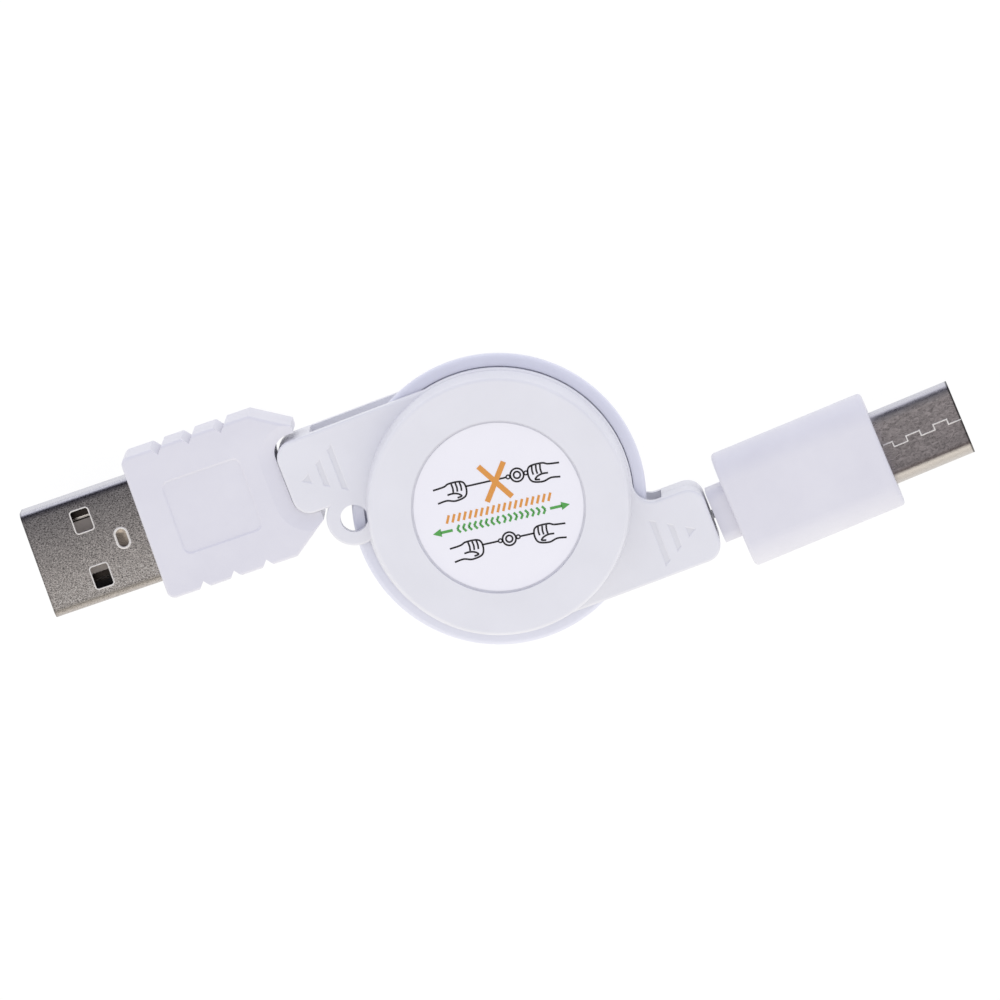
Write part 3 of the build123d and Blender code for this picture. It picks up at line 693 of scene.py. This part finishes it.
# Soft PVC is duller and a little greyer than the case's ABS.
grip_pvc = moulded("moulded soft PVC, white", "#E4E3EA", "#DFDEE6", 0.45, 0.25, 0.005, 6.0)
dress(grip_pvc, "a_overmould")


# C plug's inside: a black housing with two rows of contacts and a side latch, on a small green board with one
# resistor, its wires and the inner mould. Glass-filled black plastic, gilded bronze, stamped steel, solder
# resist over glass laminate, and a dark ceramic chip.

# Thin gilding is a muted yellow, stamped steel a streaked grey, the black plastic and the chip are dull, and
# the resist is a glossy green.
gold = worked_metal("gold-flashed bronze", "#A08A66", "#7F6C4E", 0.24, (0.5, 0.06, 0.3), 0.001)
housing_black = moulded("moulded glass-filled plastic, black", "#1C1C1E", "#141416", 0.5, 0.15, 0.003, 2.0)
latch_steel = worked_metal("stamped stainless steel", "#AFAFAE", "#989897", 0.3, (0.4, 0.08, 0.2), 0.002)
board_green = moulded("solder resist on laminate, green", "#1F6B3A", "#1A5C32", 0.3, 0.3, 0.002, 1.0)
chip_ceramic = moulded("fired ceramic chip, dark", "#26262A", "#1D1D21", 0.4, 0.1, 0.002, 0.6)
dress(gold, "c_contacts_upper", "c_contacts_lower")
dress(housing_black, "c_housing")
dress(latch_steel, "c_latch")
dress(board_green, "c_board")
dress(chip_ceramic, "c_resistor")
dress(wire_cover, "c_wires")
dress(inner_mould, "c_core")


# C plug's shell: rolled from the same sheet into a flat oval, its two edges joined by a toothed seam on top.
# The joined edges are pressed slightly round, and the seam's bead is painted bright as a highlight.

c_place, c_turn, c_length = np.array([20.75, -10.455]), 1.95, 28.9
c_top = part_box("c_shell")[1].z / MM
c_axis = np.array([np.cos(np.radians(c_turn)), np.sin(np.radians(c_turn))])
c_middle = c_place @ (-c_axis[1], c_axis[0])
# From front to rear, all painted reflections: the rolled front side painted bright, a dark line painted
# along the face's edge, the mottled brown-grey face, and the rolled rear side painted bright.
c_painted_light_stops = (
    (-3.05, "#CAC4BE", 0.3), (-2.82, "#958A89", 0.8), (-2.5, "#ACA5A7", 1.0),
    (2.7, "#BBB4B6", 1.0), (4.0, "#CDCDD5", 0.2),
)
# The tumbled plating's mottle is about 0.1 mm wide, drawn at 0.34 mm so that it shows.
c_nickel = plated_sheet(
    "nickel-plated mottled steel", c_painted_light_stops, (0.6, 0.34, 0.45), 0.29, 1.4, 0.012, c_turn, c_middle,
    c_place @ c_axis + c_length, 0.25,
)
dress(c_nickel, "c_shell")

seam_radius, seam_mid, seam_half = 0.075, 0.2, 0.3
seam_u = np.array([28.85, 27.42, 25.84, 24.26, 22.68, 21.1, 20.0])
seam_v = seam_mid + seam_half * np.array([-1, 1, -1, 1, -1, 1])
seam = np.stack((np.repeat(seam_u, 2)[1:-1], np.repeat(seam_v, 2)), axis=1)
seam_bead = tube_mesh("c_shell_seam", [bead(seam, seam_radius, False, c_place, c_turn, c_top)], highlight_edge)
seam_bead.data.shade_smooth()
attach(seam_bead, "plug_c")


# C plug's outer mould: a plain rounded block with a short square tail where the ribbon goes in.
# The same soft white PVC as the other grip.

dress(grip_pvc, "c_overmould")


# Stage: a pale table inside a soft tent, with one broad lamp low in front. The camera stands almost overhead,
# at the photograph's angle; its own dark side is what flat metal mirrors.

def seen_rays(material):
    """One for the rays that show a thing to the camera, straight, mirrored or through glass, and zero for the
    others: the greatest of the light path's camera, glossy and transmission flags."""
    path = add_node(material, "LightPath").outputs
    greatest = {"operation": "MAXIMUM"}
    direct = add_node(material, "Math", greatest, {0: path["Is Camera Ray"], 1: path["Is Glossy Ray"]})
    shown = add_node(material, "Math", greatest, {0: direct.outputs[0], 1: path["Is Transmission Ray"]})
    return shown.outputs[0]


# What is seen of the table is white with the object's shadow. Its light on the object is a plain white's.
reach, floor_z = 3.0, -5e-5
corners = [(-reach, -reach), (reach, -reach), (reach, reach), (-reach, reach)]
floor_mesh = bpy.data.meshes.new("floor")
floor_mesh.from_pydata([(x, y, floor_z) for x, y in corners], [], [(0, 1, 2, 3)])
floor = bpy.data.objects.new("floor", floor_mesh)
bpy.context.scene.collection.objects.link(floor)
table = bpy.data.materials.new("pale table")
table.use_nodes = True
table.node_tree.nodes.clear()
shaded = add_node(table, "BsdfDiffuse", {"Color": (0.1, 0.1, 0.1, 1.0)})
glow = add_node(table, "Emission", {"Color": (1.0, 1.0, 1.0, 1.0), "Strength": 0.93})
bounce = add_node(table, "Emission", {"Color": (1.0, 1.0, 1.0, 1.0), "Strength": 1.0})
seen = add_node(table, "AddShader", None, {0: glow.outputs[0], 1: shaded.outputs[0]})
mixed = add_node(
    table, "MixShader", None, {"Fac": seen_rays(table), 1: bounce.outputs[0], 2: seen.outputs[0]}
)
add_node(table, "OutputMaterial", None, {"Surface": mixed.outputs[0]})
floor_mesh.materials.append(table)

view_azimuth, view_height, view_roll = np.radians([65.56, 80.93, 69.12])
view_target = np.array([0.0, -0.28, 8.0]) * MM
view_distance = 0.8
view_focal, view_pixels = 7405.7, 1000
level = np.cos(view_height)
back = np.array([level * np.cos(view_azimuth), level * np.sin(view_azimuth), np.sin(view_height)])
right = np.cross([np.cos(view_roll), np.sin(view_roll), 0.0], back)
right /= np.linalg.norm(right)
up = np.cross(back, right)


def placed(across, upwards, backwards, at):
    """The matrix of a thing that looks along minus backwards, with these unit axes, at this point."""
    matrix = np.eye(4)
    matrix[:3] = np.stack((across, upwards, backwards, at), axis=1)
    return Matrix(matrix.tolist())


camera_data = bpy.data.cameras.new("camera")
camera_data.sensor_width = 36.0
camera_data.lens = view_focal * camera_data.sensor_width / view_pixels
camera_data.clip_start = 0.05
camera = bpy.data.objects.new("camera", camera_data)
bpy.context.scene.collection.objects.link(camera)
camera.matrix_world = placed(right, up, back, view_target + view_distance * back)
bpy.context.scene.camera = camera

# The tent lights warm from the front and cool from the rear, where its lower edge is brighter. What is seen
# of it, by the camera and in metal, is its white front and lower edge, and a grey roof over the camera that
# is darkest at the rear. Light levels are linear, because some pass 1.
light_rear, light_front = (0.6, 0.62, 0.79, 1.0), (1.22, 1.2, 1.12, 1.0)
light_low_rear = (1.25, 1.25, 1.33, 1.0)
roof_dark, roof_pale = (0.07, 0.07, 0.09, 1.0), (0.3, 0.29, 0.29, 1.0)
white_rear, white_front = (1.03, 1.03, 1.12, 1.0), (1.0, 0.98, 0.95, 1.0)
front = -up * (1.0, 1.0, 0.0)
front /= np.linalg.norm(front)
world = bpy.data.worlds.new("soft tent")
bpy.context.scene.world = world
world.use_nodes = True
world.node_tree.nodes.clear()
sky_dir = add_node(world, "TexCoord").outputs["Generated"]
sky_up = add_node(world, "SeparateXYZ", None, {"Vector": sky_dir}).outputs["Z"]
sky_front = add_node(
    world, "VectorMath", {"operation": "DOT_PRODUCT", 1: front.tolist()}, {0: sky_dir}
).outputs["Value"]

forward = add_node(world, "MapRange", {"From Min": -1.0, "From Max": 1.0}, {"Value": sky_front})
sky_tint = add_node(
    world, "Mix", {"data_type": "RGBA", 6: light_rear, 7: light_front}, {0: forward.outputs["Result"]}
)
low_part = add_node(world, "MapRange", {"From Min": 0.5, "From Max": 0.1}, {"Value": sky_up})
rear_part = add_node(world, "MapRange", {"From Min": 0.1, "From Max": -0.4}, {"Value": sky_front})
low_rear = add_node(
    world, "Math", {"operation": "MULTIPLY"},
    {0: low_part.outputs["Result"], 1: rear_part.outputs["Result"]},
)
tent_tint = add_node(
    world, "Mix", {"data_type": "RGBA", 7: light_low_rear}, {0: low_rear.outputs[0], 6: sky_tint.outputs[2]}
)
tent = add_node(world, "Background", None, {"Color": tent_tint.outputs[2]})

soft_step = {"interpolation_type": "SMOOTHSTEP"}
front_lit = add_node(
    world, "MapRange", {**soft_step, "From Min": 0.22, "From Max": 0.45}, {"Value": sky_front}
)
edge_lit = add_node(
    world, "MapRange", {**soft_step, "From Min": 0.0, "From Max": 0.57, "To Min": 1.0, "To Max": 0.0},
    {"Value": sky_up},
)
white_part = add_node(
    world, "Math", {"operation": "MAXIMUM"},
    {0: front_lit.outputs["Result"], 1: edge_lit.outputs["Result"]},
)
roof_part = add_node(
    world, "MapRange", {**soft_step, "From Min": -0.66, "From Max": -0.3}, {"Value": sky_front}
)
roof_tint = add_node(
    world, "Mix", {"data_type": "RGBA", 6: roof_dark, 7: roof_pale}, {0: roof_part.outputs["Result"]}
)
white_turn = add_node(world, "MapRange", {"From Min": -0.4, "From Max": 0.4}, {"Value": sky_front})
white_tint = add_node(
    world, "Mix", {"data_type": "RGBA", 6: white_rear, 7: white_front}, {0: white_turn.outputs["Result"]}
)
seen_tint = add_node(
    world, "Mix", {"data_type": "RGBA"},
    {0: white_part.outputs[0], 6: roof_tint.outputs[2], 7: white_tint.outputs[2]},
)
backdrop = add_node(world, "Background", None, {"Color": seen_tint.outputs[2]})
sky_mixed = add_node(
    world, "MixShader", None, {"Fac": seen_rays(world), 1: tent.outputs[0], 2: backdrop.outputs[0]}
)
add_node(world, "OutputWorld", None, {"Surface": sky_mixed.outputs[0]})

lamp_rise, lamp_distance = 1.1, 1.2
lamp_towards = front + np.array([0.0, 0.0, lamp_rise])
lamp_towards /= np.linalg.norm(lamp_towards)
lamp_across = np.cross([0.0, 0.0, 1.0], lamp_towards)
lamp_across /= np.linalg.norm(lamp_across)
lamp_up = np.cross(lamp_towards, lamp_across)
lamp_data = bpy.data.lights.new("front_softbox", "AREA")
lamp_data.size = 0.6
lamp_data.energy = 0.65
lamp_data.color = linear("#FFF8EC")[:3]
lamp = bpy.data.objects.new("front_softbox", lamp_data)
bpy.context.scene.collection.objects.link(lamp)
lamp.matrix_world = placed(lamp_across, lamp_up, lamp_towards, lamp_distance * lamp_towards)

bpy.context.scene.view_settings.view_transform = "Standard"
